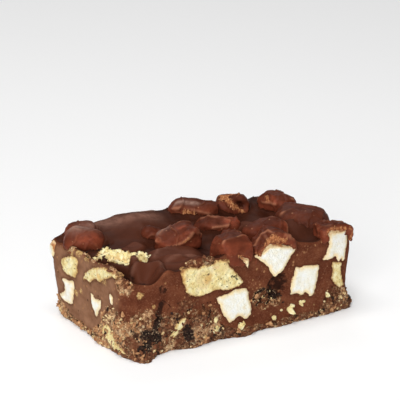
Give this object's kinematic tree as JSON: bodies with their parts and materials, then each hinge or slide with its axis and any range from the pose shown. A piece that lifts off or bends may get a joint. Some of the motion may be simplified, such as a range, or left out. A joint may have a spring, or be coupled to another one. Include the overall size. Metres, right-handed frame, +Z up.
{
  "type": "rocky road slice",
  "caption": "Cut rectangular slice of rocky road: a chocolate slab set with marshmallows and biscuit pieces, with coated marshmallows in its top, on a biscuit crumb layer.",
  "frame": {"origin": "middle of the flat underside, on the surface that the slice rests on", "axes": "+Z up, +X along the length of the slice, towards its right end as seen from the long cut face in the picture, which faces -Y"},
  "size_m": [0.0966, 0.0589, 0.0348],
  "materials": {
    "chocolate": "satin milk chocolate, matt where the knife cut it",
    "coating": "satin chocolate over marshmallow",
    "marshmallow": "matt, cut",
    "biscuit": "matt, crumbly",
    "crumb": "matt, crumbly"
  },
  "bodies": {
    "root": {"chocolate_slab": "chocolate", "crumb_layer": "crumb", "marshmallow_front_square": "marshmallow", "marshmallow_front_diamond": "marshmallow", "marshmallow_front_low": "marshmallow", "marshmallow_front_corner": "marshmallow", "marshmallow_left_upper": "marshmallow", "marshmallow_left_lower": "marshmallow", "marshmallow_left_chip": "marshmallow", "marshmallow_left_rear": "marshmallow", "marshmallow_back_tall": "marshmallow", "marshmallow_back_diamond": "marshmallow", "marshmallow_back_low": "marshmallow", "marshmallow_right_high": "marshmallow", "marshmallow_right_low": "marshmallow", "biscuit_front_long": "biscuit", "biscuit_front_end": "biscuit", "biscuit_front_splinter": "biscuit", "biscuit_left_round": "biscuit", "biscuit_left_ledge": "biscuit", "biscuit_left_splinter": "biscuit", "biscuit_back_long": "biscuit", "biscuit_back_slab": "biscuit", "biscuit_right_round": "biscuit", "biscuit_top_broken": "biscuit", "biscuit_top_chip": "biscuit", "lump_left_edge": "coating", "lump_left_rear": "coating", "lump_hill_small": "coating", "lump_middle_ridged": "coating", "lump_rear_long": "coating", "lump_rear_hollowed": "coating", "lump_rear_right": "coating", "lump_right_great": "coating", "lump_middle_tablet": "coating", "lump_front_block": "coating", "lump_front_behind": "coating", "lump_front_bolster": "coating", "lump_right_rear": "coating", "coat_front_diamond": "coating", "coat_front_corner": "coating"}
  },
  "joints": []
}
